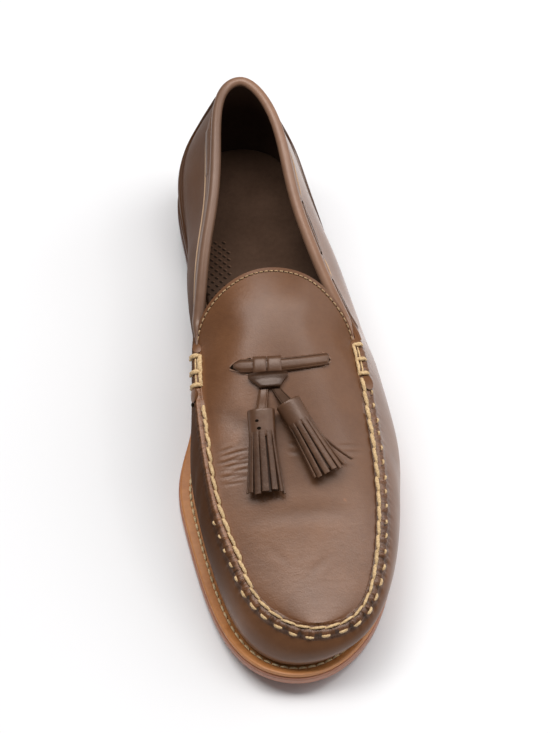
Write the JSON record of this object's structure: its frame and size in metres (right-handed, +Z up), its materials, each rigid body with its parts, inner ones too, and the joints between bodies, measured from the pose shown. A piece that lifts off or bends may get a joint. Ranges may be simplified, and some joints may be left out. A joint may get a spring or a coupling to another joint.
{
  "type": "tassel loafer",
  "caption": "Left slip-on tassel loafer: moccasin upper with a raised stitched seam, rolled collar, laced tassels on the vamp, welted leather sole and block heel.",
  "frame": {"origin": "on the floor under the middle of the outsole's bounding box", "axes": "+Z up, +Y from the toe towards the heel, +X to the lateral side (the wearer's left), forefoot's axis along Y"},
  "size_m": [0.1051, 0.3, 0.0897],
  "materials": {
    "upper_leather": "semi-gloss brown smooth leather",
    "collar_leather": "satin tan-brown leather roll",
    "lace_leather": "satin brown leather lace",
    "sock_leather": "matt dark brown lining leather",
    "sole_leather": "tan sole leather",
    "sole_edge": "stained and polished sole edge",
    "heel_stack": "stained stacked heel"
  },
  "bodies": {
    "root": {"outsole": "sole_edge", "heel": "heel_stack", "welt": "sole_leather", "insole": "sock_leather", "upper": "upper_leather", "heel_counter": "upper_leather", "collar_binding": "collar_leather", "side_lace_lateral_front": "lace_leather", "side_lace_lateral_mid": "lace_leather", "side_lace_medial_rear": "lace_leather", "vamp_lace": "lace_leather", "lace_knot": "lace_leather", "lace_end_medial": "lace_leather", "lace_end_lateral": "lace_leather", "tassel_medial": "lace_leather", "tassel_lateral": "lace_leather"}
  },
  "joints": []
}
